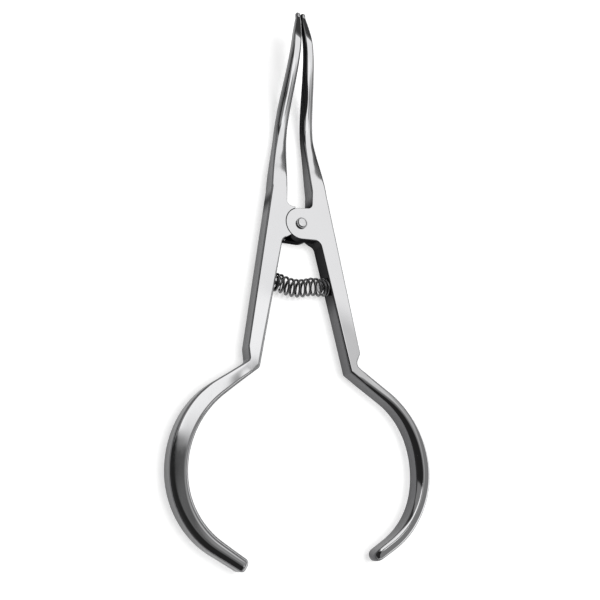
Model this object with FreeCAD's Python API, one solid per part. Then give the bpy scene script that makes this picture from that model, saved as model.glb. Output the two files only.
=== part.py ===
"""Separating pliers, in millimetres.

Two levers turn on one rivet through a half-lap joint. Each lever is a single forging: a
long jaw that bends forward and ends in a small knob, a flat arm, and an open ring bow. The
levers don't cross, so squeezing the bows together opens the tips. A coil spring between
the arms sits over a peg at each end and brings the tips back together.

The origin is on the rivet's axis, in the plane of the levers' backs. +Y runs to the tips,
+X to the right lever, and +Z is the front. Both levers are drawn as the right one, and the
left one is mirrored. Values with a left and a right entry differ a little from side to
side, because the bows are bent and ground by hand.
"""
import FreeCAD, Part
import math
import os

Vector = FreeCAD.Vector
Y_AXIS = Vector(0, 1, 0)
Z_AXIS = Vector(0, 0, 1)
ORIGIN = Vector(0, 0, 0)

# Levers: thickness and the half-lap joint
THICKNESS = 4.9             # arm, joint and bow crest, back to front
EDGE_BEVEL = 0.25           # along the arms' long edges
LAP_RADIUS = 4.55           # each lever's round lobe
LAP_CLEARANCE = 0.15        # round a lobe, inside the other lever's recess
LAP_GAP = 0.04              # between the flats of the two lobes
HORN_REACH = 1.5            # top end of a recess's wall, from the pivot's centre line
HORN_FOOT = (3.1, 3.5)      # lower end of that wall, out from and below the pivot
HORN_HEEL = (4.9, 4.65)     # where the recess meets the crotch, out from and below the pivot

# Arm
ARM_TOP = 10.0              # where the jaw starts, above the pivot
ARM_TOP_INNER = 3.7         # the jaw slot's half width there
ARM_TOP_OUTER = 8.42
SLOT_HALF_WIDTH = {"left": 4.1, "right": 3.55}      # at its bottom, just above the lobe
SLOT_RISE = 0.5             # the slot's bottom corner, above the lobe's top
SLOT_FILLET = 1.5
CROTCH_OUT = 5.5            # corner under the lobe, where the arm's inner edge starts
CROTCH_FILLET = 1.8
ARM_LEAN = 11.45            # angle of that edge from the centre line
ELBOW_DOWN = 40.65          # its lower end, below the pivot
ELBOW_STUB = 0.9            # flat stretch between the elbow and the start of the bow
ELBOW_FILLET = {"left": 1.6, "right": 0.5}
FOOT_ABOVE_BOW = {"left": 3.0, "right": 3.3}        # the arm's outer corner, off the bow's outer edge
FOOT_BEHIND_BOW = 1.2       # and back from the start of that edge
NOTCH_DEPTH = 0.75          # under the arm's outer corner, further back still
NOTCH_FILLET = 0.8

# Bow: a straight start, two arcs that meet at the widest point, and a straight end
BOW_START_ANGLE = 55.0      # from +X to the first section, across the bow
BOW_STRAIGHT = {"left": 11.05, "right": 11.25}
BOW_UPPER_RADIUS = {"left": 24.0, "right": 23.5}
BOW_LOWER_RADIUS = {"left": 21.3, "right": 21.6}
BOW_LOWER_SWEEP = {"left": 57.0, "right": 60.0}
BOW_LAST_STRAIGHT = {"left": 7.5, "right": 5.8}
BOW_WIDTHS = {              # at the start, half-way, the widest point, half-way and the end
    "left": (3.2, 4.7, 4.85, 4.35, 3.3),
    "right": (3.0, 3.25, 4.66, 3.6, 2.9),
}
BOW_CROWN = 0.36            # rise of the front and back faces across the bow
BOW_BEVEL = 0.3             # long edges, once the bow has left the arm
BOW_END_ROUND = {"left": 0.6, "right": 1.0}         # length of the rounding at the open end
BOW_END_STEPS = ((0.45, 0.93), (0.8, 0.78), (1.0, 0.56))    # shares of that length and of the section

# Jaw: stations above the pivot, each (height, half spacing, width, depth, crown, bevel)
JAW_STATIONS = (
    (14.0, 5.68, 4.50, 4.55, 0.01, 0.25),
    (18.0, 5.28, 4.10, 4.05, 0.03, 0.30),
    (22.0, 4.80, 3.72, 3.60, 0.08, 0.40),
    (26.5, 4.28, 3.45, 3.30, 0.13, 0.53),
    (31.5, 3.84, 3.38, 3.20, 0.17, 0.68),
    (36.5, 3.42, 3.35, 3.15, 0.18, 0.76),
    (41.5, 2.95, 3.22, 3.05, 0.17, 0.76),
    (46.5, 2.47, 2.98, 2.85, 0.16, 0.71),
    (51.5, 2.02, 2.70, 2.55, 0.16, 0.64),
    (56.0, 1.63, 2.32, 2.20, 0.12, 0.56),
    (60.0, 1.14, 1.76, 1.72, 0.08, 0.45),
    (62.4, 0.86, 1.34, 1.34, 0.05, 0.38),
)
JAW_RISE = 9.0              # forward offset of the tips
JAW_RISE_START = 25.5
JAW_RISE_END = 56.0
KNOB_RADIUS = 0.77
KNOB_LENGTH = 1.75
KNOB_ROUND = 0.55
TIP_GAP = 0.06              # between the two knobs at rest

# Rivet
RIVET_RADIUS = 1.3
RIVET_RUNNING = 0.04        # radial clearance in the lever that turns on it
RIVET_HEAD_OVERHANG = 0.25  # head, beyond the shank
RIVET_HEAD_HEIGHT = 0.85
RIVET_HEAD_BEVEL = 0.3
RIVET_SEAT_GAP = 0.04       # under the head
RIVET_FOOT_FLARE = 0.5      # countersunk foot, beyond the shank and flush with the back
RIVET_FOOT_DEPTH = 0.6

# Spring and its pegs
SPRING_DOWN = 16.75         # seats, below the pivot
SPRING_FORWARD = 0.12       # spring's axis, in front of the levers' mid plane
SPRING_OUTER_DIAMETER = 5.1
SPRING_WIRE = 0.68
SPRING_TURNS = 11
SPRING_SEAT_GAP = 0.03
SPRING_CLOSED_PITCH = 1.06  # pitch of the end turns, in wire diameters
SPRING_STEPS_PER_TURN = 12
SPRING_WIRE_SIDES = 8       # the coil's wire is drawn with flats, to keep the model light
PEG_CLEARANCE = 0.12        # radial, inside the coil
PEG_LENGTH = 2.2
PEG_BEVEL = 0.4
PEG_SHANK_RADIUS = 0.95
PEG_SHANK_DEPTH = 1.9

MID_PLANE = THICKNESS / 2
ROUND_OFF = 1e-6


def polar(angle):
    """Unit vector in the plan, its angle in degrees from +X."""
    a = math.radians(angle)
    return Vector(math.cos(a), math.sin(a), 0)


def blend(start, end, share):
    return start + (end - start) * share


def ease(share):
    """0 to 1 with level ends."""
    s = min(max(share, 0.0), 1.0)
    return s * s * (3 - 2 * s)


def smooth_through(values, place):
    """Smooth curve through evenly spaced values, read at a place counted in values."""
    i = min(int(place), len(values) - 2)
    t = place - i
    start, end = values[i], values[i + 1]
    before = values[max(i - 1, 0)]
    after = values[min(i + 2, len(values) - 1)]
    slope_in = (end - before) / 2
    slope_out = (after - start) / 2
    return blend(start, end, ease(t)) + t * (1 - t) * (slope_in * (1 - t) - slope_out * t)


def rounded_outline(corners):
    """Closed wire through corners (x, y, radius), each radius a tangent arc."""
    points = [Vector(x, y, 0) for x, y, radius in corners]
    edges = []
    stops = []
    for i, (x, y, radius) in enumerate(corners):
        here = points[i]
        back = (points[i - 1] - here).normalize()
        ahead = (points[(i + 1) % len(points)] - here).normalize()
        if radius == 0:
            stops.append((here, None, here))
            continue
        half = back.getAngle(ahead) / 2
        run = radius / math.tan(half)
        middle = here + (back + ahead).normalize() * (radius / math.sin(half) - radius)
        stops.append((here + back * run, middle, here + ahead * run))
    for i, (enter, middle, leave) in enumerate(stops):
        if middle is not None:
            edges.append(Part.Arc(enter, middle, leave).toShape())
        following = stops[(i + 1) % len(stops)][0]
        edges.append(Part.makeLine(leave, following))
    return Part.Wire(edges)


def rail_section(centre, across, up, width, depth, crown, bevel):
    """Closed section with flat sides, bevelled corners, and a front and back that rise by the crown."""
    side = width / 2
    top = depth / 2
    shoulder = top - crown

    def at(u, v):
        return centre + across * u + up * v

    edges = []
    for s in (1, -1):
        wall_end = at(s * side, s * (shoulder - bevel))
        crown_start = at(s * (side - bevel), s * shoulder)
        crown_end = at(s * (bevel - side), s * shoulder)
        next_wall = at(-s * side, s * (shoulder - bevel))
        crest = Part.BezierCurve()
        crest.setPoles([crown_start, at(0, s * (top + crown)), crown_end])
        edges.append(Part.makeLine(at(s * side, s * (bevel - shoulder)), wall_end))
        edges.append(Part.makeLine(wall_end, crown_start))
        edges.append(crest.toShape())
        edges.append(Part.makeLine(crown_end, next_wall))
    return Part.Wire(edges)


def bow_heading():
    """Direction in which the bow leaves the arm."""
    return polar(BOW_START_ANGLE - 90)


def arm_inner_edge(y):
    """Point on the arm's inner edge at a height, from the crotch to the elbow."""
    return Vector(CROTCH_OUT - (y + LAP_RADIUS) * math.tan(math.radians(ARM_LEAN)), y, 0)


def bow_start(side):
    """Centre of the bow's first section."""
    inner = arm_inner_edge(-ELBOW_DOWN) + bow_heading() * ELBOW_STUB
    return inner + polar(BOW_START_ANGLE) * (BOW_WIDTHS[side][0] / 2)


def bow_upper_centre(side):
    straight_end = bow_start(side) + bow_heading() * BOW_STRAIGHT[side]
    return straight_end - polar(BOW_START_ANGLE) * BOW_UPPER_RADIUS[side]


def bow_lower_centre(side):
    widest = bow_upper_centre(side) + polar(0) * BOW_UPPER_RADIUS[side]
    return widest - polar(0) * BOW_LOWER_RADIUS[side]


def bow_edge(side, hand, back):
    """Point on the bow's inner (-1) or outer (+1) edge, a distance back from its first section."""
    half_width = BOW_WIDTHS[side][0] / 2
    return bow_start(side) - bow_heading() * back + polar(BOW_START_ANGLE) * (hand * half_width)


def arm_foot(side):
    """The arm's outer corner, above the notch."""
    return bow_edge(side, 1, FOOT_BEHIND_BOW) + polar(BOW_START_ANGLE) * FOOT_ABOVE_BOW[side]


def plan_corners(side):
    """Corners of the arm and joint, jaw and bow left off."""
    elbow = arm_inner_edge(-ELBOW_DOWN)
    inner = bow_edge(side, -1, 0)
    outer = bow_edge(side, 1, 0)
    notch = bow_edge(side, 1, FOOT_BEHIND_BOW + NOTCH_DEPTH)
    foot = arm_foot(side)
    return (
        (ARM_TOP_INNER, ARM_TOP, 0),
        (SLOT_HALF_WIDTH[side], LAP_RADIUS + SLOT_RISE, SLOT_FILLET),
        (0, LAP_RADIUS, 0),
        (0, -LAP_RADIUS, 0),
        (CROTCH_OUT, -LAP_RADIUS, CROTCH_FILLET),
        (elbow.x, elbow.y, ELBOW_FILLET[side]),
        (inner.x, inner.y, 0),
        (outer.x, outer.y, 0),
        (notch.x, notch.y, NOTCH_FILLET),
        (foot.x, foot.y, 0),
        (ARM_TOP_OUTER, ARM_TOP, 0),
    )


def joins_other_form(edge, side):
    """Whether an edge lies where the lobe, the jaw or the bow joins the arm's blank."""
    middle = edge.CenterOfMass
    at_bow = abs((middle - bow_start(side)).dot(bow_heading())) < ROUND_OFF
    return at_bow or abs(middle.x) < ROUND_OFF or abs(middle.y - ARM_TOP) < ROUND_OFF


def arm_body(side):
    """Arm and joint blank, with the edges of its front and back bevelled."""
    face = Part.Face(rounded_outline(plan_corners(side)))
    blank = face.extrude(Z_AXIS * THICKNESS)
    rims = []
    for edge in blank.Edges:
        level = edge.BoundBox.ZLength < ROUND_OFF
        if level and not joins_other_form(edge, side):
            rims.append(edge)
    return blank.makeChamfer(EDGE_BEVEL, rims)


def end_wire(body, point):
    """Outline of the blank's face nearest to a point, where a loft takes over."""
    probe = Part.Vertex(point)
    return min(body.Faces, key=lambda face: face.distToShape(probe)[0]).OuterWire


def bow_section(side, place, centre, outward):
    """Section of the bow, its place 0 at the arm, 2 at the widest point and 4 at the end."""
    formed = ease(place / 2)
    width = smooth_through(BOW_WIDTHS[side], place)
    crown = blend(0, BOW_CROWN, formed)
    bevel = blend(EDGE_BEVEL, BOW_BEVEL, formed)
    return rail_section(centre, outward, Z_AXIS, width, THICKNESS, crown, bevel)


def bow(body, side):
    """Open ring, lofted from the arm's end round to its free end."""
    lift = Z_AXIS * MID_PLANE
    straight_steps = 3
    upper_steps = 4
    lower_steps = 4
    last_steps = 2
    upper_length = math.radians(BOW_START_ANGLE) * BOW_UPPER_RADIUS[side]
    to_widest = BOW_STRAIGHT[side] + upper_length
    lower_length = math.radians(BOW_LOWER_SWEEP[side]) * BOW_LOWER_RADIUS[side]
    from_widest = lower_length + BOW_LAST_STRAIGHT[side]
    sections = [end_wire(body, bow_start(side) + lift)]
    for i in range(1, straight_steps):
        run = BOW_STRAIGHT[side] * i / straight_steps
        centre = bow_start(side) + bow_heading() * run + lift
        sections.append(bow_section(side, 2 * run / to_widest, centre, polar(BOW_START_ANGLE)))
    for i in range(upper_steps + 1):
        outward = polar(BOW_START_ANGLE * (1 - i / upper_steps))
        run = BOW_STRAIGHT[side] + upper_length * i / upper_steps
        centre = bow_upper_centre(side) + outward * BOW_UPPER_RADIUS[side] + lift
        sections.append(bow_section(side, 2 * run / to_widest, centre, outward))
    for i in range(1, lower_steps + 1):
        outward = polar(-BOW_LOWER_SWEEP[side] * i / lower_steps)
        run = lower_length * i / lower_steps
        centre = bow_lower_centre(side) + outward * BOW_LOWER_RADIUS[side] + lift
        sections.append(bow_section(side, 2 + 2 * run / from_widest, centre, outward))
    for i in range(1, last_steps + 1):
        past_arc = BOW_LAST_STRAIGHT[side] * i / last_steps
        place = 2 + 2 * (lower_length + past_arc) / from_widest
        centre = bow_tail(side, past_arc) + lift
        sections.append(bow_section(side, place, centre, polar(-BOW_LOWER_SWEEP[side])))
    return Part.makeLoft(sections, True, False).fuse(bow_end(side))


def bow_tail(side, past_arc):
    """Point of the centre line, a distance past the end of the lower arc."""
    arc_end = bow_lower_centre(side) + polar(-BOW_LOWER_SWEEP[side]) * BOW_LOWER_RADIUS[side]
    return arc_end + polar(-BOW_LOWER_SWEEP[side] - 90) * past_arc


def bow_end(side):
    """Rounded open end, past the bow's last full section."""
    outward = polar(-BOW_LOWER_SWEEP[side])
    sections = []
    for share, size in ((0, 1.0),) + BOW_END_STEPS:
        past_arc = BOW_LAST_STRAIGHT[side] + BOW_END_ROUND[side] * share
        centre = bow_tail(side, past_arc) + Z_AXIS * MID_PLANE
        sections.append(rail_section(
            centre, outward, Z_AXIS, BOW_WIDTHS[side][-1] * size, THICKNESS * size,
            BOW_CROWN * size, BOW_BEVEL * size))
    return Part.makeLoft(sections, True, True)


def jaw_height(y, depth):
    """Centre of a jaw section above the back plane, where its back face is level or rises."""
    rise = ease((y - JAW_RISE_START) / (JAW_RISE_END - JAW_RISE_START))
    return depth / 2 + JAW_RISE * rise


def jaw_tilt(y):
    """Slope angle of the forward bend at a height, in radians."""
    step = 0.5
    climb = jaw_height(y + step, 0) - jaw_height(y - step, 0)
    return math.atan2(climb, 2 * step)


def jaw(body):
    """Jaw, lofted from the arm's top through the forward bend to its tip."""
    root_centre = Vector((ARM_TOP_OUTER + ARM_TOP_INNER) / 2, ARM_TOP, MID_PLANE)
    sections = [end_wire(body, root_centre)]
    for y, out, width, depth, crown, bevel in JAW_STATIONS:
        tilt = jaw_tilt(y)
        up = Vector(0, -math.sin(tilt), math.cos(tilt))
        centre = Vector(out, y, jaw_height(y, depth))
        sections.append(rail_section(centre, polar(0), up, width, depth, crown, bevel))
    return Part.makeLoft(sections, True, False).fuse(knob())


def knob():
    """Small round end of the jaw, which holds the elastic ring while it is stretched."""
    tip_height, out, width, tip_depth, crown, bevel = JAW_STATIONS[-1]
    base = Vector(KNOB_RADIUS + TIP_GAP / 2, tip_height - KNOB_ROUND / 2, jaw_height(tip_height, tip_depth))
    blank = Part.makeCylinder(KNOB_RADIUS, KNOB_LENGTH, base, Y_AXIS)
    rims = [edge for edge in blank.Edges if isinstance(edge.Curve, Part.Circle)]
    rims.sort(key=lambda edge: edge.CenterOfMass.y)
    return blank.makeChamfer(KNOB_ROUND, rims[:1]).makeFillet(KNOB_ROUND, rims[1:])


def recess_cutter(lobe_in_front):
    """What one lever gives up, over half the thickness, for the other lever's lobe."""
    reach = LAP_RADIUS * 2
    plan = Part.makePolygon([
        Vector(-reach, reach, 0),
        Vector(HORN_REACH, reach, 0),
        Vector(HORN_REACH, 0, 0),
        Vector(HORN_FOOT[0], -HORN_FOOT[1], 0),
        Vector(HORN_HEEL[0], -HORN_HEEL[1], 0),
        Vector(HORN_HEEL[0], -reach, 0),
        Vector(-reach, -reach, 0),
        Vector(-reach, reach, 0),
    ])
    height = MID_PLANE + LAP_GAP / 2
    extra = 1
    base = -extra if lobe_in_front else THICKNESS - height
    block = Part.Face(plan).extrude(Z_AXIS * (height + extra))
    disc = Part.makeCylinder(LAP_RADIUS + LAP_CLEARANCE, height + extra)
    cutter = block.fuse(disc)
    cutter.translate(Z_AXIS * base)
    return cutter


def spring_seat():
    """Where the spring's axis meets the arm's inner face."""
    return arm_inner_edge(-SPRING_DOWN) + Z_AXIS * (MID_PLANE + SPRING_FORWARD)


def into_spring():
    """Square to the arm's inner face, towards the other arm."""
    return polar(180 + ARM_LEAN)


def peg_shank():
    """The part of a peg that is pressed into its arm."""
    return Part.makeCylinder(PEG_SHANK_RADIUS, PEG_SHANK_DEPTH, spring_seat(), -into_spring())


def lever(side, lobe_in_front):
    """Lever, with its lobe in the front or the back half of the joint."""
    blank = arm_body(side)
    lobe = Part.makeCylinder(LAP_RADIUS, THICKNESS)
    body = blank.fuse([lobe, jaw(blank), bow(blank, side)])
    body = body.cut(recess_cutter(lobe_in_front))
    if lobe_in_front:
        bore = Part.makeCylinder(RIVET_RADIUS + RIVET_RUNNING, THICKNESS)
    else:
        bore = rivet_shank()
    return body.cut([bore, peg_shank()])


def rivet_shank():
    """Rivet below its head, with the countersunk foot that is ground flush."""
    foot = Part.makeCone(RIVET_RADIUS + RIVET_FOOT_FLARE, RIVET_RADIUS, RIVET_FOOT_DEPTH)
    return Part.makeCylinder(RIVET_RADIUS, THICKNESS + RIVET_SEAT_GAP).fuse(foot)


def rivet():
    seat = Z_AXIS * (THICKNESS + RIVET_SEAT_GAP)
    head = Part.makeCylinder(RIVET_RADIUS + RIVET_HEAD_OVERHANG, RIVET_HEAD_HEIGHT, seat)
    top = max(head.Edges, key=lambda edge: edge.CenterOfMass.z)
    head = head.makeChamfer(RIVET_HEAD_BEVEL, [top])
    return rivet_shank().fuse(head).removeSplitter()


def peg():
    """Peg with a bevelled nose inside the coil."""
    radius = SPRING_OUTER_DIAMETER / 2 - SPRING_WIRE - PEG_CLEARANCE
    straight = PEG_LENGTH - PEG_BEVEL
    nose = Part.makeCylinder(radius, straight, spring_seat(), into_spring())
    tip_base = spring_seat() + into_spring() * straight
    tip = Part.makeCone(radius, radius - PEG_BEVEL, PEG_BEVEL, tip_base, into_spring())
    return nose.fuse([tip, peg_shank()]).removeSplitter()


def mirrored(shape):
    """The same piece for the left side."""
    return shape.mirror(ORIGIN, Vector(1, 0, 0))


def coil_travel(turn, length):
    """Distance along the axis after a number of turns, the first and last ones closed."""
    closed = SPRING_WIRE * SPRING_CLOSED_PITCH
    open_pitch = (length - 2 * closed) / (SPRING_TURNS - 2)
    if turn < 1:
        return closed * turn
    if turn > SPRING_TURNS - 1:
        return length - closed * (SPRING_TURNS - turn)
    return closed + open_pitch * (turn - 1)


def coil_section(turn, axis_centre, axis_radius, length):
    """Section of the wire after a number of turns round an axis bent on an arc."""
    bearing = (coil_travel(turn, length) - length / 2) / axis_radius
    outward = Vector(math.sin(bearing), -math.cos(bearing), 0)
    along = Vector(math.cos(bearing), math.sin(bearing), 0)
    wind = 2 * math.pi * turn
    radial = outward * math.cos(wind) + Z_AXIS * math.sin(wind)
    coil_radius = (SPRING_OUTER_DIAMETER - SPRING_WIRE) / 2
    centre = axis_centre + outward * axis_radius + radial * coil_radius
    corners = []
    for i in range(SPRING_WIRE_SIDES + 1):
        angle = 2 * math.pi * (i + 0.5) / SPRING_WIRE_SIDES
        corners.append(centre + (radial * math.cos(angle) + along * math.sin(angle)) * (SPRING_WIRE / 2))
    return Part.makePolygon(corners)


def spring():
    """Compression spring on an arc, so that each end sits square on its arm."""
    seat = spring_seat()
    half_turn = math.radians(ARM_LEAN)
    axis_radius = seat.x / math.sin(half_turn)
    axis_centre = Vector(0, seat.y + axis_radius * math.cos(half_turn), seat.z)
    length = 2 * (axis_radius * half_turn - SPRING_WIRE / 2 - SPRING_SEAT_GAP)
    sections = []
    for i in range(SPRING_TURNS * SPRING_STEPS_PER_TURN + 1):
        turn = i / SPRING_STEPS_PER_TURN
        sections.append(coil_section(turn, axis_centre, axis_radius, length))
    return Part.makeLoft(sections, True, True)


def main():
    os.makedirs("parts", exist_ok=True)
    pieces = {
        "left_lever": mirrored(lever("left", lobe_in_front=False)),
        "right_lever": lever("right", lobe_in_front=True),
        "pivot_rivet": rivet(),
        "return_spring": spring(),
        "left_spring_peg": mirrored(peg()),
        "right_spring_peg": peg(),
    }
    for name, shape in pieces.items():
        box = shape.BoundBox
        print(name, "valid", shape.isValid(), "solids", len(shape.Solids), "volume %.2f" % shape.Volume,
              "x %.2f %.2f y %.2f %.2f z %.2f %.2f" % (
                  box.XMin, box.XMax, box.YMin, box.YMax, box.ZMin, box.ZMax))
        shape.exportStep("parts/%s.step" % name)


main()
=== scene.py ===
import bmesh
import bpy
import math
from mathutils import Matrix, Vector


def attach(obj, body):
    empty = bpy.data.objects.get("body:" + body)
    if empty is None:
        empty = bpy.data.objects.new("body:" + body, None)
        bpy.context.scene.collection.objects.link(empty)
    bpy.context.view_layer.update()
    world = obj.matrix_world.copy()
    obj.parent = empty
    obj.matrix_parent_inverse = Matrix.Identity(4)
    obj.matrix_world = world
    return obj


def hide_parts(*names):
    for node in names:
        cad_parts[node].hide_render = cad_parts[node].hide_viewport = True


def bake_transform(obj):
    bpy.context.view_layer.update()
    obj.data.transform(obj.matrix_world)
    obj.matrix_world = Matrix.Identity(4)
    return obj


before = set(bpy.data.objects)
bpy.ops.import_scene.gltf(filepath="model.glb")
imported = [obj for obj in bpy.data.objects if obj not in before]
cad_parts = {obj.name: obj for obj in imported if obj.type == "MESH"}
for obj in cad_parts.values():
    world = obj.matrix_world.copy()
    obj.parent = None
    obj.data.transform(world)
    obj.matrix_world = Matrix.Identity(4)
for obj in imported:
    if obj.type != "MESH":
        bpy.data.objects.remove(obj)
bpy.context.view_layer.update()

# Lengths below are in millimetres, as in the part's source, and MM turns them into metres
MM = 0.001
SIDES = {"left": -1, "right": 1}

# Levers
THICKNESS = 4.9
MID_PLANE = THICKNESS / 2
JOINT_EDGE = 0.18
ARM_EDGE = 0.42
ARM_TOP_EDGE = {"outer": 0.6, "inner": 0.38}
LAP_RADIUS = 4.55
LAP_CLEARANCE = 0.15
LAP_GAP = 0.04
HORN_REACH = 1.5
HORN_HEEL = (4.9, -4.65)
RECESS_ARC = (71.4, -48.4)
ARM_TOP = 10.0
ARM_TOP_INNER = 3.7
ARM_TOP_OUTER = 8.42
SLOT_HALF_WIDTH = {"left": 4.1, "right": 3.55}
SLOT_RISE = 0.5
SLOT_FILLET = 1.5
CROTCH_OUT = 5.5
CROTCH_FILLET = 1.8
ARM_LEAN = 11.45
ELBOW_DOWN = 40.65
ELBOW_STUB = 0.9
ELBOW_STUB_EXTRA = 1.6
ELBOW_FILLET = {"left": 1.7, "right": 0.8}
ELBOW_EDGE = {"left": 1.1, "right": 0.72}
FOOT_ABOVE_BOW = {"left": 3.0, "right": 3.3}
FOOT_BEHIND_BOW = 1.2
NOTCH_BACK = {"left": -0.55, "right": 0.5}
NOTCH_FILLET = {"left": 1.1, "right": 1.5}

# Bows
BOW_START_ANGLE = 55.0
BOW_STRAIGHT = {"left": 11.05, "right": 11.25}
BOW_UPPER_RADIUS = {"left": 24.0, "right": 23.5}
BOW_LOWER_RADIUS = {"left": 21.3, "right": 21.6}
BOW_LOWER_SWEEP = {"left": 57.0, "right": 60.0}
BOW_LAST_STRAIGHT = {"left": 7.5, "right": 5.8}
BOW_WIDTHS = {
    "left": (3.2, 4.7, 4.85, 4.35, 3.3),
    "right": (3.0, 3.25, 4.66, 3.6, 2.9),
}
# A bow's front and back each have a ground facet along one edge, the outer one on the left bow and the
# inner one on the right. Lists run along the bow: the facet's width, the slope of the face beside it, and
# the radius of the edge on the other side.
BOW_FACET_HAND = {"left": 1, "right": -1}
BOW_FACET_WIDTHS = {
    "left": (0.3, 0.35, 0.6, 1.05, 1.1),
    "right": (0.6, 1.15, 1.75, 1.1, 0.7),
}
BOW_FACE_SLOPES = {
    "left": (0.04, 0.04, 0.04, 0.1, 0.16),
    "right": (0.08, 0.08, 0.2, 0.36, 0.4),
}
BOW_OTHER_EDGES = {
    "left": (0.7, 0.9, 1.2, 1.6, 1.3),
    "right": (0.6, 0.8, 1.6, 1.6, 1.3),
}
BOW_FACET_SLOPE = {"left": 0.45, "right": 0.6}
BOW_FACET_EDGE = {"left": 0.45, "right": 0.35}
BOW_FACET_SOFT = {"left": 0.25, "right": 0.4}
# Radii of the outer and the inner edge where the bow leaves the arm
BOW_START_EDGES = {"left": (0.5, 0.6), "right": (0.6, 0.7)}
BOW_FACET_RUN = 4.0
BOW_END = {"left": 0.85, "right": 0.75}
BOW_END_ROUND = {"left": 1.3, "right": 2.4}
BOW_END_SIZE = {"left": 0.42, "right": 0.14}
BOW_END_FLAT = 0.05
BOW_STEP = 1.1

# Jaws: (height, half spacing, width, depth, slope of the rounded front, corner radius)
JAW_STATIONS = (
    (10.0, 6.06, 4.72, 4.90, 0.00, 0.42),
    (14.0, 5.68, 4.50, 4.55, 0.02, 0.44),
    (18.0, 5.28, 4.10, 4.05, 0.06, 0.50),
    (22.0, 4.80, 3.72, 3.60, 0.14, 0.60),
    (26.5, 4.28, 3.45, 3.30, 0.24, 0.78),
    (31.5, 3.84, 3.38, 3.20, 0.32, 0.92),
    (36.5, 3.42, 3.35, 3.15, 0.37, 1.00),
    (41.5, 2.95, 3.22, 3.05, 0.37, 1.00),
    (46.5, 2.47, 2.98, 2.85, 0.26, 0.85),
    (51.5, 2.01, 2.71, 2.55, 0.16, 0.65),
    (56.0, 1.59, 2.40, 2.20, 0.10, 0.50),
    (60.0, 1.08, 1.86, 1.72, 0.08, 0.44),
    (62.4, 0.81, 1.42, 1.34, 0.08, 0.42),
)
JAW_RIDGE_SOFT = 0.9
JAW_RISE = 8.95
JAW_RISE_START = 25.5
JAW_RISE_END = 56.0
JAW_STEP = 0.7
KNOB_RADIUS = 0.77
KNOB_OUT = 0.8
KNOB_START = 62.125
KNOB_LENGTH = 1.75
KNOB_ROUND = 0.5
# (distance along the knob, share of its radius) from its foot to where it is full
KNOB_NECK = ((0.0, 0.9), (0.05, 0.96), (0.14, 1.0))

# Rivet, spring and pegs
RIVET_RADIUS = 1.3
RIVET_RUNNING = 0.04
RIVET_HEAD_RADIUS = 1.55
RIVET_HEAD_SEAT = 4.94
RIVET_HEAD_TOP = 5.79
RIVET_HEAD_ROUND = (0.55, 0.45)
RIVET_HEAD_LIP = 0.05
# (radius, drop below the top) over the nearly flat middle of the head
RIVET_HEAD_CROWN = ((0.8, 0.02), (0.4, 0.005))
RIVET_FOOT_RADIUS = 1.8
RIVET_FOOT_DEPTH = 0.6
BORE_REACH = (-1, 6)
RIVET_FIXED_GAP = 0.01
RIVET_FOOT_GAP = 0.025
SPRING_DOWN = 16.75
SPRING_FORWARD = 0.12
SPRING_RADIUS = 2.21
SPRING_WIRE = 0.68
SPRING_TURNS = 11
SPRING_SEAT_GAP = 0.03
# Bends of the coil out of its even curve: (from, to, down), the first two as shares of its length
SPRING_BENDS = ((0.12, 0.62, 0.5), (0.6, 0.88, -0.3))
SPRING_CLOSED_PITCH = 1.06
SPRING_STEPS = 28
WIRE_SIDES = 14
PEG_RADIUS = 1.75
PEG_LENGTH = 2.2
PEG_ROUND = 0.4
PEG_SHANK_RADIUS = 0.95
PEG_SHANK_DEPTH = 0.6

# Mesh density
ROUND_STEPS = 5
CROWN_STEPS = 12
FILLET_STEPS = 10
END_STEPS = 7
LOBE_STEPS = 72
LATHE_STEPS = 64


def polar(angle):
    a = math.radians(angle)
    return Vector((math.cos(a), math.sin(a), 0))


def mix(start, end, share):
    return start + (end - start) * share


def ease(share):
    s = min(max(share, 0.0), 1.0)
    return s * s * (3 - 2 * s)


def smooth_through(values, place):
    """Smooth curve through evenly spaced values, read at a place counted in values."""
    i = min(int(place), len(values) - 2)
    t = place - i
    start, end = values[i], values[i + 1]
    before = values[max(i - 1, 0)]
    after = values[min(i + 2, len(values) - 1)]
    slope_in = (end - before) / 2
    slope_out = (after - start) / 2
    return mix(start, end, ease(t)) + t * (1 - t) * (slope_in * (1 - t) - slope_out * t)


def jaw_station(y):
    """Half spacing, width, depth, slope and corner radius at a height, read smoothly between stations."""
    rows = JAW_STATIONS
    i = max(k for k in range(len(rows) - 1) if rows[k][0] <= y)
    step = rows[i + 1][0] - rows[i][0]
    t = (y - rows[i][0]) / step

    def slope(k, column):
        low = max(k - 1, 0)
        high = min(k + 1, len(rows) - 1)
        return (rows[high][column] - rows[low][column]) / (rows[high][0] - rows[low][0])

    values = []
    for column in range(1, 6):
        start, end = rows[i][column], rows[i + 1][column]
        m0, m1 = slope(i, column) * step, slope(i + 1, column) * step
        h = t * t * (3 - 2 * t)
        values.append(start + (end - start) * h + m0 * t * (1 - t) ** 2 - m1 * t * t * (1 - t))
    return values


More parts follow.
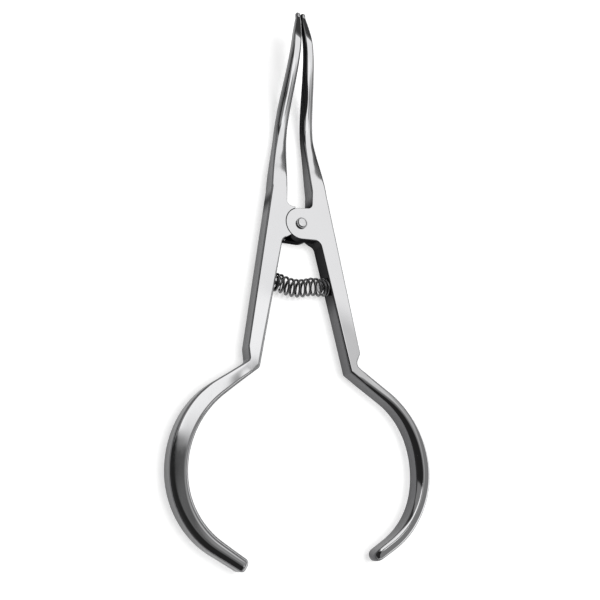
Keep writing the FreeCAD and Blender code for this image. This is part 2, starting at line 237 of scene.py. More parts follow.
def section(width, depth, slopes, edges, ridge):
    """Points (across, up) round a section with flat sides. Each half of its front and of its back slopes
    down to a rounded edge from a ridge: (place across, softness). Pairs are (outer, inner)."""
    side, top = width / 2, depth / 2
    outer_slope, inner_slope = slopes
    place, soft = ridge
    mean, lean = (outer_slope + inner_slope) / 2, (outer_slope - inner_slope) / 2
    crest = top + soft * math.sqrt(mean * mean - lean * lean)

    def height(u):
        return crest - lean * (u - place) - mean * math.hypot(u - place, soft)

    halves = []
    for hand, radius in zip((1, -1), edges):
        slant = 0.0
        for _ in range(4):
            end = side - radius + radius * math.sin(slant)
            run = hand * end - place
            slant = math.atan(hand * (lean + mean * run / math.hypot(run, soft)))
        middle = height(hand * end) - radius * math.cos(slant)
        arc = []
        for i in range(ROUND_STEPS + 1):
            a = (math.pi / 2 - slant) * i / ROUND_STEPS
            arc.append((hand * (side - radius + radius * math.cos(a)), middle + radius * math.sin(a)))
        halves.append((arc, end))
    (outer, outer_end), (inner, inner_end) = halves
    across = [mix(outer_end, -inner_end, i / CROWN_STEPS) for i in range(1, CROWN_STEPS)]
    upper = outer + [(u, height(u)) for u in across] + inner[::-1]
    return upper + [(u, -v) for u, v in reversed(upper)]


def place_section(points, centre, across, up):
    return [centre + across * u + up * v for u, v in points]


def bow_heading():
    return polar(BOW_START_ANGLE - 90)


def arm_inner_edge(y):
    return Vector((CROTCH_OUT - (y + LAP_RADIUS) * math.tan(math.radians(ARM_LEAN)), y, 0))


def bow_start(side):
    inner = arm_inner_edge(-ELBOW_DOWN) + bow_heading() * (ELBOW_STUB + ELBOW_STUB_EXTRA)
    return inner + polar(BOW_START_ANGLE) * (BOW_WIDTHS[side][0] / 2)


def bow_edge(side, hand, back):
    half_width = BOW_WIDTHS[side][0] / 2
    return bow_start(side) - bow_heading() * back + polar(BOW_START_ANGLE) * (hand * half_width)


def outline(corners):
    """Points round a closed plan, each with the radius of its front and back edges, and with whether the
    edge after it is rounded at all. A corner is (point, fillet radius, edge radius, rounded)."""
    points = []
    for i, (here, radius, edge, rounded) in enumerate(corners):
        if radius == 0:
            points.append((here, edge, rounded))
            continue
        back = (corners[i - 1][0] - here).normalized()
        ahead = (corners[(i + 1) % len(corners)][0] - here).normalized()
        half = back.angle(ahead) / 2
        run = radius / math.tan(half)
        centre = here + (back + ahead).normalized() * (radius / math.sin(half))
        start = here + back * run - centre
        sweep = start.angle(here + ahead * run - centre)
        if back.cross(ahead).z > 0:
            sweep = -sweep
        for k in range(FILLET_STEPS + 1):
            turn = Matrix.Rotation(sweep * k / FILLET_STEPS, 3, "Z")
            points.append((centre + turn @ start, edge, True))
    return points


def lever_outline(side):
    elbow = arm_inner_edge(-ELBOW_DOWN)
    outer, inner = BOW_START_EDGES[side]
    bow_back = ELBOW_STUB_EXTRA + FOOT_BEHIND_BOW
    foot = bow_edge(side, 1, bow_back) + polar(BOW_START_ANGLE) * FOOT_ABOVE_BOW[side]
    notch = bow_edge(side, 1, ELBOW_STUB_EXTRA + NOTCH_BACK[side])
    corners = [
        (Vector((ARM_TOP_INNER, ARM_TOP, 0)), 0, ARM_TOP_EDGE["inner"], True),
        (Vector((SLOT_HALF_WIDTH[side], LAP_RADIUS + SLOT_RISE, 0)), SLOT_FILLET, JOINT_EDGE, True),
    ]
    for i in range(LOBE_STEPS + 1):
        corners.append((polar(90 + 180 * i / LOBE_STEPS) * LAP_RADIUS, 0, JOINT_EDGE, True))
    corners += [
        (Vector((CROTCH_OUT, -LAP_RADIUS, 0)), CROTCH_FILLET, ARM_EDGE, True),
        (elbow, ELBOW_FILLET[side], ELBOW_EDGE[side], True),
        (bow_edge(side, -1, 0), 0, inner, False),
        (bow_edge(side, 1, 0), 0, outer, True),
        (notch, NOTCH_FILLET[side], outer, True),
        (foot, 0, ARM_EDGE, True),
        (Vector((ARM_TOP_OUTER, ARM_TOP, 0)), 0, ARM_TOP_EDGE["outer"], False),
    ]
    return outline(corners)


def inset(points, share):
    """The outline moved inwards by a share of each point's edge radius, except where it isn't rounded."""
    moved = []
    for i, (here, edge, rounded) in enumerate(points):
        before, _, was_rounded = points[i - 1]
        after = points[(i + 1) % len(points)][0]
        d0 = edge * share if was_rounded else 0
        d1 = edge * share if rounded else 0
        along0 = (here - before).normalized()
        along1 = (after - here).normalized()
        n0 = Vector((-along0.y, along0.x, 0))
        n1 = Vector((-along1.y, along1.x, 0))
        turn = n0.x * n1.y - n0.y * n1.x
        if abs(turn) < 1e-5:
            moved.append(here + n0 * d0)
        else:
            moved.append(here + Vector((d0 * n1.y - d1 * n0.y, d1 * n0.x - d0 * n1.x, 0)) / turn)
    return moved


def skin(bm, first, second):
    """Faces between two rings of the same number of vertices."""
    count = len(first)
    for i in range(count):
        j = (i + 1) % count
        bm.faces.new((first[i], first[j], second[j], second[i]))


def loft(bm, ring, stations):
    """Faces from a ring of vertices through rings of points to a closed end."""
    for points in stations:
        following = [bm.verts.new(p) for p in points]
        skin(bm, ring, following)
        ring = following
    bm.faces.new(ring)


def plate(bm, points):
    """Arm and joint with rounded edges, open where the jaw and the bow start. Returns those two rings."""
    levels = {}
    for face in ("front", "back"):
        for k in range(ROUND_STEPS + 1):
            a = math.pi / 2 * k / ROUND_STEPS
            level = []
            for p, (_, edge, _) in zip(inset(points, 1 - math.cos(a)), points):
                drop = edge * (1 - math.sin(a))
                level.append(bm.verts.new((p.x, p.y, THICKNESS - drop if face == "front" else drop)))
            levels[face, k] = level
    count = len(points)
    rounded = [flag for _, _, flag in points]
    for i in range(count):
        if not rounded[i]:
            continue
        j = (i + 1) % count
        front, back = levels["front", 0], levels["back", 0]
        bm.faces.new((front[i], back[i], back[j], front[j]))
        for face in ("front", "back"):
            for k in range(ROUND_STEPS):
                low, high = levels[face, k], levels[face, k + 1]
                bm.faces.new((low[i], low[j], high[j], high[i]))
    ridges = {}
    for face in ("front", "back"):
        rim = levels[face, ROUND_STEPS]
        loop = []
        for i in range(count):
            loop.append(rim[i])
            if not rounded[i]:
                start, end = rim[i].co, rim[(i + 1) % count].co
                ridge = [bm.verts.new(mix(start, end, k / CROWN_STEPS)) for k in range(1, CROWN_STEPS)]
                ridges[face, i] = ridge
                loop += ridge
        bm.faces.new(loop)
    rings = {}
    for name, i in zip(("bow", "jaw"), [k for k in range(count) if not rounded[k]]):
        j = (i + 1) % count
        steps = list(range(ROUND_STEPS + 1))
        # The section's points run from the outer edge over the front to the inner edge and back
        outer, inner = (j, i) if name == "bow" else (i, j)
        front, back = ridges["front", i], ridges["back", i]
        if name == "bow":
            front = front[::-1]
        else:
            back = back[::-1]
        rings[name] = (
            [levels["front", k][outer] for k in steps] + front
            + [levels["front", k][inner] for k in reversed(steps)]
            + [levels["back", k][inner] for k in steps] + back
            + [levels["back", k][outer] for k in reversed(steps)])
    return rings


def end_size(share, smallest):
    """Share of the full section left at a place in a rounded end."""
    return smallest + (1 - smallest) * math.sqrt(1 - share * share)


def bow_stations(side):
    up = Vector((0, 0, 1))
    lift = up * MID_PLANE
    widths = BOW_WIDTHS[side]
    straight = BOW_STRAIGHT[side] - ELBOW_STUB_EXTRA
    last = BOW_LAST_STRAIGHT[side] + BOW_END[side] - BOW_END_ROUND[side]
    upper, lower = BOW_UPPER_RADIUS[side], BOW_LOWER_RADIUS[side]
    sweep = BOW_LOWER_SWEEP[side]
    upper_length = math.radians(BOW_START_ANGLE) * upper
    lower_length = math.radians(sweep) * lower
    to_widest = straight + upper_length
    from_widest = lower_length + last
    upper_centre = bow_start(side) + bow_heading() * straight - polar(BOW_START_ANGLE) * upper
    lower_centre = upper_centre + Vector((upper - lower, 0, 0))
    tail = lower_centre + polar(-sweep) * lower

    def ring(centre, outward, place, size=1.0):
        eased = ease(place * to_widest / 2 / BOW_FACET_RUN)
        width = smooth_through(widths, place)
        hand = BOW_FACET_HAND[side]
        full = (BOW_FACET_EDGE[side], smooth_through(BOW_OTHER_EDGES[side], place))[::hand]
        edges = []
        for first, last_edge in zip(BOW_START_EDGES[side], full):
            edges.append(mix(widths[-1] / 2 - BOW_END_FLAT, mix(first, last_edge, eased), size) * size)
        face = smooth_through(BOW_FACE_SLOPES[side], place)
        slopes = (BOW_FACET_SLOPE[side] * eased * size, face * eased * size)[::hand]
        ridge = hand * (width / 2 - smooth_through(BOW_FACET_WIDTHS[side], place))
        ridge = (ridge * size, BOW_FACET_SOFT[side] * size)
        shape = section(width * size, THICKNESS * size, slopes, edges, ridge)
        return place_section(shape, centre + lift, outward, up)

    rings = []
    count = round(straight / BOW_STEP)
    for i in range(1, count + 1):
        run = straight * i / count
        centre = bow_start(side) + bow_heading() * run
        rings.append(ring(centre, polar(BOW_START_ANGLE), 2 * run / to_widest))
    count = round(upper_length / BOW_STEP)
    for i in range(1, count + 1):
        outward = polar(BOW_START_ANGLE * (1 - i / count))
        run = straight + upper_length * i / count
        rings.append(ring(upper_centre + outward * upper, outward, 2 * run / to_widest))
    count = round(lower_length / BOW_STEP)
    for i in range(1, count + 1):
        outward = polar(-sweep * i / count)
        run = lower_length * i / count
        rings.append(ring(lower_centre + outward * lower, outward, 2 + 2 * run / from_widest))
    count = round(last / BOW_STEP)
    for i in range(1, count + 1):
        run = last * i / count
        place = 2 + 2 * (lower_length + run) / from_widest
        rings.append(ring(tail + polar(-sweep - 90) * run, polar(-sweep), place))
    for i in range(1, END_STEPS + 1):
        share = math.sin(math.pi / 2 * i / END_STEPS)
        centre = tail + polar(-sweep - 90) * (last + BOW_END_ROUND[side] * share)
        rings.append(ring(centre, polar(-sweep), 4, end_size(share, BOW_END_SIZE[side])))
    return rings


def jaw_height(y, depth):
    return depth / 2 + JAW_RISE * ease((y - JAW_RISE_START) / (JAW_RISE_END - JAW_RISE_START))


def jaw_ring(y):
    out, width, depth, slope, radius = jaw_station(y)
    tilt = math.atan2(jaw_height(y + 0.5, 0) - jaw_height(y - 0.5, 0), 1)
    up = Vector((0, -math.sin(tilt), math.cos(tilt)))
    shape = section(width, depth, (slope, slope), (radius, radius), (0.0, JAW_RIDGE_SOFT))
    return place_section(shape, Vector((out, y, jaw_height(y, depth))), Vector((1, 0, 0)), up)


def jaw_stations():
    top = JAW_STATIONS[-1][0]
    count = round((KNOB_START - ARM_TOP) / JAW_STEP)
    rings = [jaw_ring(mix(ARM_TOP, KNOB_START, i / count)) for i in range(1, count + 1)]
    tip_width, tip_depth, slope, edge = JAW_STATIONS[-1][2:]
    centre = Vector((KNOB_OUT, 0, jaw_height(top, tip_depth)))
    profile = [(along, KNOB_RADIUS * share) for along, share in KNOB_NECK]
    full = KNOB_NECK[-1][0]
    flat = KNOB_LENGTH - KNOB_ROUND
    profile += [(mix(full, flat, k / 3), KNOB_RADIUS) for k in range(1, 4)]
    for k in range(1, 7):
        a = math.pi / 2 * k / 6
        profile.append((flat + KNOB_ROUND * math.sin(a), KNOB_RADIUS - KNOB_ROUND * (1 - math.cos(a))))
    tip_section = section(tip_width, tip_depth, (slope, slope), (edge, edge), (0.0, JAW_RIDGE_SOFT))
    directions = [Vector((u, 0, v)).normalized() for u, v in tip_section]
    for along, radius in profile:
        middle = centre + Vector((0, KNOB_START + along, 0))
        rings.append([middle + d * radius for d in directions])
    return rings


def new_object(name, bm, side=None):
    """Object from a mesh in millimetres, mirrored for the left side."""
    scale = Matrix.Diagonal((MM * SIDES.get(side, 1), MM, MM, 1))
    bmesh.ops.transform(bm, matrix=scale, verts=bm.verts)
    bmesh.ops.recalc_face_normals(bm, faces=bm.faces)
    mesh = bpy.data.meshes.new(name)
    bm.to_mesh(mesh)
    bm.free()
    obj = bpy.data.objects.new(name, mesh)
    bpy.context.scene.collection.objects.link(obj)
    return obj


def prism(name, points, low, high, side):
    bm = bmesh.new()
    rings = [[bm.verts.new((p.x, p.y, z)) for p in points] for z in (low, high)]
    skin(bm, *rings)
    for ring in rings:
        bm.faces.new(ring)
    return new_object(name, bm, side)


def lathe(name, profile, base, axis, steps=LATHE_STEPS):
    """Solid of revolution through (radius, distance along the axis), its first and last radius 0."""
    turn = Vector((0, 0, 1)).rotation_difference(axis).to_matrix()
    bm = bmesh.new()
    ends = [bm.verts.new(base + axis * profile[k][1]) for k in (0, -1)]
    rings = []
    for radius, along in profile[1:-1]:
        ring = []
        for i in range(steps):
            place = polar(360 * i / steps) * radius + Vector((0, 0, along))
            ring.append(bm.verts.new(base + turn @ place))
        rings.append(ring)
    for first, second in zip(rings, rings[1:]):
        skin(bm, first, second)
    for end, ring in zip(ends, (rings[0], rings[-1])):
        for i in range(steps):
            bm.faces.new((end, ring[i], ring[(i + 1) % steps]))
    return new_object(name, bm)


def evaluated(obj):
    """The object keeps the mesh that its modifiers make, and loses them."""
    mesh = bpy.data.meshes.new_from_object(obj.evaluated_get(bpy.context.evaluated_depsgraph_get()))
    obj.modifiers.clear()
    obj.data = mesh


def cut(obj, tools):
    for tool in tools:
        modifier = obj.modifiers.new("cut", "BOOLEAN")
        modifier.operation = "DIFFERENCE"
        modifier.solver = "EXACT"
        modifier.object = tool
    evaluated(obj)
    for tool in tools:
        bpy.data.objects.remove(tool)


def smooth(obj, angle=34):
    obj.data.shade_smooth()
    obj.data.set_sharp_from_angle(angle=math.radians(angle))
    modifier = obj.modifiers.new("flat_faces_lead", "WEIGHTED_NORMAL")
    modifier.keep_sharp = True
    evaluated(obj)


def recess_cutter(side, lobe_in_front):
    reach = LAP_RADIUS * 2
    points = [Vector((-reach, reach, 0)), Vector((HORN_REACH, reach, 0))]
    for i in range(LOBE_STEPS + 1):
        points.append(polar(mix(*RECESS_ARC, i / LOBE_STEPS)) * (LAP_RADIUS + LAP_CLEARANCE))
    points += [Vector((*HORN_HEEL, 0)), Vector((HORN_HEEL[0], -reach, 0)), Vector((-reach, -reach, 0))]
    height = MID_PLANE + LAP_GAP / 2
    low, high = (-1, height) if lobe_in_front else (THICKNESS - height, THICKNESS + 1)
    return prism("recess", points, low, high, side)


def bore_cutter(radius, foot_radius):
    low, high = BORE_REACH
    profile = [(0, low), (foot_radius, low), (foot_radius, 0), (radius, RIVET_FOOT_DEPTH)]
    profile += [(radius, high), (0, high)]
    return lathe("bore", profile, Vector(), Vector((0, 0, 1)))


def lever(side, lobe_in_front):
    bm = bmesh.new()
    rings = plate(bm, lever_outline(side))
    loft(bm, rings["bow"], bow_stations(side))
    loft(bm, rings["jaw"], jaw_stations())
    obj = new_object("%s_lever_steel" % side, bm, side)
    if lobe_in_front:
        radius = RIVET_RADIUS + RIVET_RUNNING
        bore = bore_cutter(radius, radius)
    else:
        bore = bore_cutter(RIVET_RADIUS + RIVET_FIXED_GAP, RIVET_FOOT_RADIUS + RIVET_FOOT_GAP)
    cut(obj, [recess_cutter(side, lobe_in_front), bore])
    smooth(obj)
    return obj


def rivet():
    across, down = RIVET_HEAD_ROUND
    top_round = []
    for k in range(9):
        a = math.pi / 2 * k / 8
        top_round.append((RIVET_HEAD_RADIUS - across * (1 - math.cos(a)),
                          RIVET_HEAD_TOP - RIVET_HEAD_LIP - down * (1 - math.sin(a))))
    profile = [(0, 0), (RIVET_FOOT_RADIUS, 0), (RIVET_RADIUS, RIVET_FOOT_DEPTH)]
    profile += [(RIVET_RADIUS, RIVET_HEAD_SEAT), (RIVET_HEAD_RADIUS - RIVET_HEAD_LIP, RIVET_HEAD_SEAT)]
    profile += [(RIVET_HEAD_RADIUS, RIVET_HEAD_SEAT + RIVET_HEAD_LIP)] + top_round
    profile += [(radius, RIVET_HEAD_TOP - drop) for radius, drop in RIVET_HEAD_CROWN]
    profile += [(0, RIVET_HEAD_TOP)]
    obj = lathe("rivet_steel_head", profile, Vector(), Vector((0, 0, 1)))
    smooth(obj)
    return obj


def spring_seat(side):
    seat = arm_inner_edge(-SPRING_DOWN) + Vector((0, 0, MID_PLANE + SPRING_FORWARD))
    return Vector((seat.x * SIDES[side], seat.y, seat.z))


def peg(side):
    axis = polar(180 + ARM_LEAN)
    axis.x *= SIDES[side]
    nose = []
    for k in range(5):
        a = math.pi / 2 * k / 4
        nose.append((PEG_RADIUS - PEG_ROUND * (1 - math.cos(a)),
                     PEG_LENGTH - PEG_ROUND * (1 - math.sin(a))))
    profile = [(0, -PEG_SHANK_DEPTH), (PEG_SHANK_RADIUS, -PEG_SHANK_DEPTH), (PEG_SHANK_RADIUS, 0)]
    profile += [(PEG_RADIUS, 0)] + nose + [(0, PEG_LENGTH)]
    obj = lathe("%s_peg" % side, profile, spring_seat(side), axis, 40)
    smooth(obj)
    return obj


def coil_travel(turn, length):
    closed = SPRING_WIRE * SPRING_CLOSED_PITCH
    open_pitch = (length - 2 * closed) / (SPRING_TURNS - 2)
    if turn < 1:
        return closed * turn
    if turn > SPRING_TURNS - 1:
        return length - closed * (SPRING_TURNS - turn)
    return closed + open_pitch * (turn - 1)


def spring():
    seat = spring_seat("right")
    half_turn = math.radians(ARM_LEAN)
    axis_radius = seat.x / math.sin(half_turn)
    axis_centre = Vector((0, seat.y + axis_radius * math.cos(half_turn), seat.z))
    length = 2 * (axis_radius * half_turn - SPRING_WIRE / 2 - SPRING_SEAT_GAP)
    bm = bmesh.new()
    rings = []
    for i in range(SPRING_TURNS * SPRING_STEPS + 1):
        turn = i / SPRING_STEPS
        bearing = (coil_travel(turn, length) - length / 2) / axis_radius
        outward = Vector((math.sin(bearing), -math.cos(bearing), 0))
        along = Vector((math.cos(bearing), math.sin(bearing), 0))
        wind = 2 * math.pi * turn
        radial = outward * math.cos(wind) - Vector((0, 0, 1)) * math.sin(wind)
        share = coil_travel(turn, length) / length
        bend = sum(down * math.sin(math.pi * min(max((share - low) / (high - low), 0), 1))
                   for low, high, down in SPRING_BENDS)
        centre = axis_centre + outward * (axis_radius + bend) + radial * SPRING_RADIUS
        ring = []
        for k in range(WIRE_SIDES):
            angle = 2 * math.pi * k / WIRE_SIDES
            ring.append(bm.verts.new(
                centre + (radial * math.cos(angle) + along * math.sin(angle)) * (SPRING_WIRE / 2)))
        rings.append(ring)
    for first, second in zip(rings, rings[1:]):
        skin(bm, first, second)
    bm.faces.new(rings[0])
    bm.faces.new(rings[-1])
    obj = new_object("coil_spring", bm)
    obj.data.shade_smooth()
    obj.data.set_sharp_from_angle(angle=math.radians(60))
    return obj


# Camera, fitted to the photograph
CAMERA_YAW = math.radians(-25.83)
CAMERA_PITCH = math.radians(-17.2)
CAMERA_ROLL = math.radians(-2.18)
AIM = Vector((0.0, 0.0, 0.00245))
PIVOT_IN_VIEW = Vector((0.00066, -0.02017, 0.2191))
LENS_PIXELS = 797
PHOTO_PIXELS = 600


def camera():
    towards = Vector((math.sin(CAMERA_YAW) * math.cos(CAMERA_PITCH), math.sin(CAMERA_PITCH),
                      math.cos(CAMERA_YAW) * math.cos(CAMERA_PITCH)))
    right = Vector((0, 1, 0)).cross(towards).normalized()
    up = towards.cross(right)
    right, up = (right * math.cos(CAMERA_ROLL) + up * math.sin(CAMERA_ROLL),
                 up * math.cos(CAMERA_ROLL) - right * math.sin(CAMERA_ROLL))
    data = bpy.data.cameras.new("photo_camera")
    data.sensor_width = 36
    data.lens = data.sensor_width * LENS_PIXELS / PHOTO_PIXELS
    data.clip_start = 0.01
    data.clip_end = 20
    cam = bpy.data.objects.new("photo_camera", data)
    bpy.context.scene.collection.objects.link(cam)
    turn = Matrix((right, up, towards)).transposed()
    place = AIM + right * PIVOT_IN_VIEW.x + up * PIVOT_IN_VIEW.y + towards * PIVOT_IN_VIEW.z
    cam.matrix_world = Matrix.Translation(place) @ turn.to_4x4()
    bpy.context.scene.camera = cam


class Nodes:
    """Short calls for one node tree."""

    def __init__(self, tree):
        self.tree = tree

    def add(self, kind, links=None, **settings):
        node = self.tree.nodes.new(kind)
        for key, value in settings.items():
            setattr(node, key, value)
        for socket, value in (links or {}).items():
            if isinstance(value, bpy.types.NodeSocket):
                self.tree.links.new(value, node.inputs[socket])
            else:
                node.inputs[socket].default_value = value
        return node

    def math(self, operation, *values):
        return self.add("ShaderNodeMath", dict(enumerate(values)), operation=operation).outputs[0]

    def step(self, value, start, end, low=0.0, high=1.0):
        """Value between low and high as it goes from start to end, smoothly."""
        links = {"Value": value, "From Min": start, "From Max": end, "To Min": low, "To Max": high}
        return self.add("ShaderNodeMapRange", links, interpolation_type="SMOOTHSTEP").outputs["Result"]


# The side walls' satin roughness and their painted shade, a darker base colour, fade in over this span of
# the normal's share that faces the front or the back
SATIN_AND_SHADE_FACING = (0.68, 0.85)
# Where shade is painted into the walls, in the crotch and on the jaws' inner walls towards the tips: (from,
# to) of each fade, as a share of facing inwards, and in metres
DARK_INWARD = (-0.1, -0.5)
DARK_JAWS = (0.012, 0.031)
DARK_CROTCH_FOOT = (-0.034, -0.012)
DARK_CROTCH_TOP = (0.0095, 0.0055)
DARK_CROTCH_SIDE = (0.0098, 0.0088)
# The painted shade's base colour, as a share of the walls' colour, and its weaker specular tint
DARK_SHARE = 0.3
DARK_TINT = 0.35


def recess(tree, coord):
    """1 where the walls get painted shade: the crotch, and the jaws' inner walls towards the tips."""
    place = tree.add("ShaderNodeSeparateXYZ", {0: coord})
    facing = tree.add("ShaderNodeSeparateXYZ", {0: tree.add("ShaderNodeTexCoord").outputs["Normal"]})
    out = tree.math("ABSOLUTE", place.outputs["X"])
    inward = tree.math("MULTIPLY", facing.outputs["X"], tree.math("SIGN", place.outputs["X"]))
    along = place.outputs["Y"]
    jaws = tree.math("MULTIPLY", tree.step(inward, *DARK_INWARD), tree.step(along, *DARK_JAWS))
    crotch = tree.math("MULTIPLY", tree.step(along, *DARK_CROTCH_FOOT), tree.step(along, *DARK_CROTCH_TOP))
    crotch = tree.math("MULTIPLY", crotch, tree.step(out, *DARK_CROTCH_SIDE))
    return tree.math("MAXIMUM", jaws, crotch)


def metal(name, colour, roughness, wall_colour, wall_roughness, grain=1.0, paint_recess_shade=False):
    """Polished steel: flat faces bright with faint hairlines and handling haze, side walls satin and ground
    along their length, with painted shade in their darker base colour."""
    material = bpy.data.materials.new(name)
    material.use_nodes = True
    tree = Nodes(material.node_tree)
    shader = material.node_tree.nodes["Principled BSDF"]
    coord = tree.add("ShaderNodeTexCoord").outputs["Object"]
    normal = tree.add("ShaderNodeSeparateXYZ", {0: tree.add("ShaderNodeTexCoord").outputs["Normal"]})
    wall = tree.step(tree.math("ABSOLUTE", normal.outputs["Z"]), *SATIN_AND_SHADE_FACING, 1.0, 0.0)

    patchy = {"Vector": coord, "Scale": 160.0, "Detail": 4.0, "Roughness": 0.6}
    haze = tree.add("ShaderNodeTexNoise", patchy)
    grit = tree.add("ShaderNodeTexNoise", {"Vector": coord, "Scale": 4000.0, "Detail": 2.0})
    stretched = tree.add("ShaderNodeMapping", {"Vector": coord, "Scale": (120.0, 120.0, 9000.0)})
    lines = tree.add("ShaderNodeTexNoise", {"Vector": stretched.outputs[0], "Scale": 1.0, "Detail": 3.0})
    hair_coord = tree.add("ShaderNodeMapping", {"Vector": coord, "Rotation": (0, 0, 0.35),
                                               "Scale": (6000.0, 160.0, 400.0)})
    hair = tree.add("ShaderNodeTexNoise", {"Vector": hair_coord.outputs[0], "Scale": 1.0, "Detail": 2.0})
    hairlines = tree.step(hair.outputs["Fac"], 0.6, 0.75)

    face = tree.step(haze.outputs["Fac"], 0.3, 0.75, roughness * 0.8, roughness * 1.5)
    face = tree.math("MULTIPLY_ADD", hairlines, 0.05 * grain, face)
    side = tree.step(lines.outputs["Fac"], 0.3, 0.7, wall_roughness * 0.8, wall_roughness * 1.2)
    rough = tree.add("ShaderNodeMix", {"Factor": wall, 2: face, 3: side}, data_type="FLOAT").outputs[0]
    tree.tree.links.new(rough, shader.inputs["Roughness"])

    def shades(value, low, high, grey):
        node = tree.add("ShaderNodeValToRGB", {"Fac": value})
        for element, share in zip(node.color_ramp.elements, (low, high)):
            element.color = (grey[0] * share, grey[1] * share, grey[2] * share, 1)
        return node.outputs["Color"]

    face_colour = shades(haze.outputs["Fac"], 0.97, 1.02, colour)
    # Painted shade: the walls' colour is far darker than the faces', in place of the shadowed floor they
    # reflect
    side_colour = shades(lines.outputs["Fac"], 0.85, 1.12, wall_colour)
    base = tree.add("ShaderNodeMix", {"Factor": wall, 6: face_colour, 7: side_colour}, data_type="RGBA")
    # Painted shade in the crotch and on the jaws' inner walls: a darker base colour and a weaker specular
    # tint there
    if paint_recess_shade:
        shade = tree.math("MULTIPLY", wall, recess(tree, coord))
        dark = (wall_colour[0] * DARK_SHARE, wall_colour[1] * DARK_SHARE, wall_colour[2] * DARK_SHARE, 1)
        base = tree.add("ShaderNodeMix", {"Factor": shade, 6: base.outputs[2], 7: dark}, data_type="RGBA")
        tints = {"Factor": shade, 6: (1, 1, 1, 1), 7: (DARK_TINT, DARK_TINT, DARK_TINT, 1)}
        tint = tree.add("ShaderNodeMix", tints, data_type="RGBA")
        tree.tree.links.new(tint.outputs[2], shader.inputs["Specular Tint"])
    tree.tree.links.new(base.outputs[2], shader.inputs["Base Color"])

    swell = tree.add("ShaderNodeTexNoise", {"Vector": coord, "Scale": 130.0, "Detail": 1.0})
    rise = tree.math("MULTIPLY_ADD", grit.outputs["Fac"], 0.006 * grain, swell.outputs["Fac"])
    rise = tree.math("MULTIPLY_ADD", tree.math("MULTIPLY", lines.outputs["Fac"], wall), 0.06 * grain, rise)
    bump = tree.add("ShaderNodeBump", {"Height": rise, "Strength": 1.0, "Distance": 0.000012})
    tree.tree.links.new(bump.outputs[0], shader.inputs["Normal"])
    shader.inputs["Metallic"].default_value = 1.0
    return material


def finish_piece(obj, material, slot, *nodes):
    obj.data.materials.clear()
    obj.data.materials.append(material)
    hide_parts(*nodes)


ROOM_GREY = 0.3
FLOOR_SIZE = 3.0
FLOOR_GREY = 0.85
FLOOR_GLOW = 0.48
LAMP_POWER = 1.7
LAMP_SPREAD = math.radians(40)
LAMP_FROM = Vector((0.27, 0.05, 1.0))


def background_rays(tree):
    """1 for the rays that show the white background."""
    path = tree.add("ShaderNodeLightPath")
    seen = tree.math("MAXIMUM", path.outputs["Is Camera Ray"], path.outputs["Is Glossy Ray"])
    return tree.math("MAXIMUM", seen, path.outputs["Is Transmission Ray"])


def studio():
    """Pale room, white where the camera or a reflection sees it."""
    world = bpy.data.worlds.new("studio")
    world.use_nodes = True
    tree = Nodes(world.node_tree)
    grey = (ROOM_GREY, ROOM_GREY, ROOM_GREY, 1)
    shades = {"Factor": background_rays(tree), 6: grey, 7: (1, 1, 1, 1)}
    shade = tree.add("ShaderNodeMix", shades, data_type="RGBA").outputs[2]
    tree.tree.links.new(shade, world.node_tree.nodes["Background"].inputs["Color"])
    bpy.context.scene.world = world


# Softbox over the object's front and the dark room round it, as the polished steel shows them. Each patch
# is (left, right, bottom, top, softness, brightness), with lengths in mm, and covers the ones before it.
CARD_HEIGHT = 270.0
CARD_REACH = 2500.0
CARD_LEVEL = 0.22
CARD_PATCHES = (
    (15, 220, 62, 292, 10, 0.97),
    (-2600, 4, 45, 150, 14, 0.04),
    (-45, 15, -30, 45, 10, 0.25),
    (8, 92, -32, 34, 5, 1.08),
    (20, 136, 26, 74, 6, 1.1),
    (92, 215, -30, 26, 8, 0.28),
    (130, 215, 26, 82, 10, 0.66),
    (215, 280, -30, 150, 12, 0.42),
    (-2600, 130, -700, -36, 6, 0.02),
    (66, 140, -140, -32, 16, 0.13),
    (176, 228, -112, -46, 6, 1.25),
    (-2600, 2600, 335, 900, 50, 0.05),
    (-2600, -115, -2600, 150, 14, 0.03),
    (-2600, -480, -2600, 2600, 60, 0.8),
    (1200, 2600, -2600, 2600, 60, 0.8),
    (-2600, 2600, -2600, -700, 60, 0.8),
    (-2600, 2600, 900, 2600, 60, 0.8),
)
# The patches' lower and upper edges fall towards +X by this share
CARD_SLANT = 0.3
CARD_SLANT_FROM = 90.0
CARD_SLANT_LEFT = -50.0


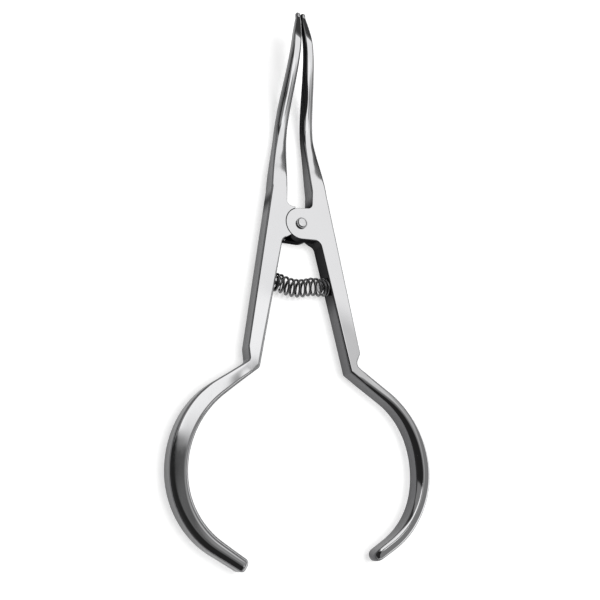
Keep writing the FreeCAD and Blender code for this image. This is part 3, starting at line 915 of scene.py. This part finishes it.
def reflector():
    """Card that only the steel's reflections see."""
    mesh = bpy.data.meshes.new("softbox")
    reach, height = CARD_REACH * MM, CARD_HEIGHT * MM
    corners = [(-reach, -reach), (reach, -reach), (reach, reach), (-reach, reach)]
    mesh.from_pydata([(x, y, height) for x, y in corners], [], [(3, 2, 1, 0)])
    card = bpy.data.objects.new("softbox", mesh)
    bpy.context.scene.collection.objects.link(card)
    card.visible_camera = False
    card.visible_diffuse = False
    card.visible_shadow = False
    card.visible_transmission = False
    material = bpy.data.materials.new("softbox_light")
    material.use_nodes = True
    tree = Nodes(material.node_tree)
    material.node_tree.nodes.remove(material.node_tree.nodes["Principled BSDF"])
    place = tree.add("ShaderNodeSeparateXYZ", {0: tree.add("ShaderNodeTexCoord").outputs["Object"]})
    x = place.outputs["X"]
    slanted = tree.math("MAXIMUM", x, CARD_SLANT_LEFT * MM)
    y = tree.math("MULTIPLY_ADD", slanted, CARD_SLANT, place.outputs["Y"])
    y = tree.math("SUBTRACT", y, CARD_SLANT * CARD_SLANT_FROM * MM)
    level = CARD_LEVEL
    for left, right, bottom, top, soft, bright in CARD_PATCHES:
        mask = None
        for value, low, high in ((x, left, right), (y, bottom, top)):
            rise = tree.step(value, (low - soft) * MM, (low + soft) * MM)
            fall = tree.step(value, (high + soft) * MM, (high - soft) * MM)
            both = tree.math("MULTIPLY", rise, fall)
            mask = both if mask is None else tree.math("MULTIPLY", mask, both)
        blend = tree.add("ShaderNodeMix", {"Factor": mask, 2: level, 3: bright}, data_type="FLOAT")
        level = blend.outputs[0]
    light = tree.add("ShaderNodeEmission", {"Strength": level})
    tree.tree.links.new(light.outputs[0], material.node_tree.nodes["Material Output"].inputs[0])
    card.data.materials.append(material)


def floor():
    bpy.ops.mesh.primitive_plane_add(size=FLOOR_SIZE, location=(0, 0, -0.00005))
    plane = bpy.context.object
    plane.name = "floor"
    material = bpy.data.materials.new("floor_white")
    material.use_nodes = True
    tree = Nodes(material.node_tree)
    shader = material.node_tree.nodes["Principled BSDF"]
    shader.inputs["Base Color"].default_value = (FLOOR_GREY, FLOOR_GREY, FLOOR_GREY, 1)
    shader.inputs["Roughness"].default_value = 0.9
    shader.inputs["Specular IOR Level"].default_value = 0.0
    shader.inputs["Emission Color"].default_value = (1, 1, 1, 1)
    glow = tree.math("MULTIPLY", background_rays(tree), FLOOR_GLOW)
    tree.tree.links.new(glow, shader.inputs["Emission Strength"])
    plane.data.materials.append(material)


def lamp():
    data = bpy.data.lights.new("soft_lamp", "SUN")
    data.energy = LAMP_POWER
    data.angle = LAMP_SPREAD
    obj = bpy.data.objects.new("soft_lamp", data)
    bpy.context.scene.collection.objects.link(obj)
    obj.rotation_euler = LAMP_FROM.to_track_quat("Z", "Y").to_euler()
    obj.visible_glossy = False


camera()

# The walls' colour, 0.12 against the faces' 0.78, is painted shade
lever_steel = metal("lever_steel", (0.78, 0.78, 0.79), 0.055, (0.12, 0.12, 0.124), 0.3,
                    paint_recess_shade=True)
rivet_steel = metal("rivet_steel", (0.75, 0.75, 0.76), 0.14, (0.6, 0.6, 0.61), 0.2)
wire_steel = metal("wire_steel", (0.24, 0.24, 0.245), 0.14, (0.11, 0.11, 0.112), 0.2)

for side, lobe_in_front in (("left", False), ("right", True)):
    piece = lever(side, lobe_in_front)
    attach(piece, "%s_half" % side)
    finish_piece(piece, lever_steel, "polished_steel", "%s_lever" % side)
    piece = peg(side)
    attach(piece, "%s_half" % side)
    finish_piece(piece, rivet_steel, "rivet_steel", "%s_spring_peg" % side)

piece = rivet()
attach(piece, "left_half")
finish_piece(piece, rivet_steel, "rivet_steel", "pivot_rivet")

piece = spring()
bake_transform(piece)
finish_piece(piece, wire_steel, "spring_wire", "return_spring")

studio()
reflector()
floor()
lamp()
bpy.context.scene.view_settings.view_transform = "Standard"
